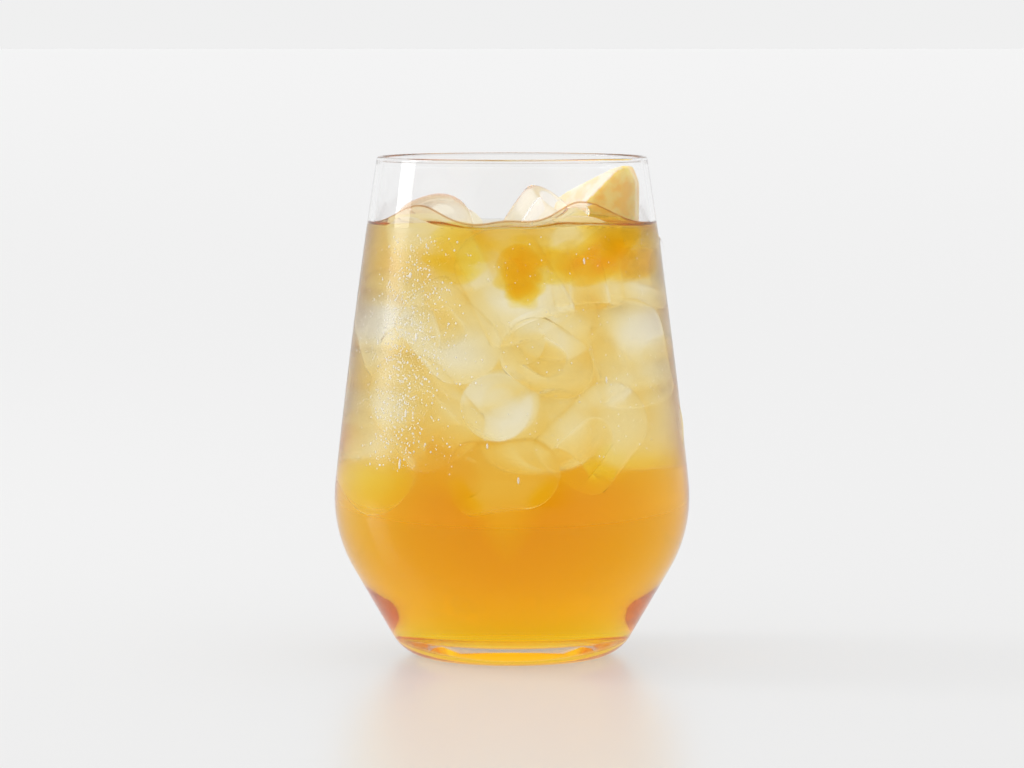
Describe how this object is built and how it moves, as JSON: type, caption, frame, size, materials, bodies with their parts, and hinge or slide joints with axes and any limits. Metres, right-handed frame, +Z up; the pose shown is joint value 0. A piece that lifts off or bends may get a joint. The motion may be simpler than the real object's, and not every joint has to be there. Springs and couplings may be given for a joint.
{
  "type": "glass of iced apple juice",
  "caption": "Stemless tumbler filled with amber apple juice over hollow bullet ice, with a wedge of yellow fruit leaning at the rim.",
  "frame": {"origin": "centre of the tumbler's foot, on the plane that it rests on", "axes": "+Z up along the tumbler's axis; -Y is the front shown in the picture and +X is the viewer's right"},
  "size_m": [0.0868, 0.0868, 0.122],
  "materials": {
    "glass": "clear, smooth, misted with fine condensation over the cold part",
    "juice": "clear amber liquid with a smooth wet surface",
    "ice": "wet melting ice with a cloudy core",
    "fruit": "moist pale yellow fruit flesh"
  },
  "bodies": {
    "root": {"tumbler": "glass", "juice": "juice", "ice_front_left": "ice", "ice_front_right": "ice", "ice_middle": "ice", "ice_back_left": "ice", "ice_back_right": "ice", "fruit_wedge": "fruit"}
  },
  "joints": []
}
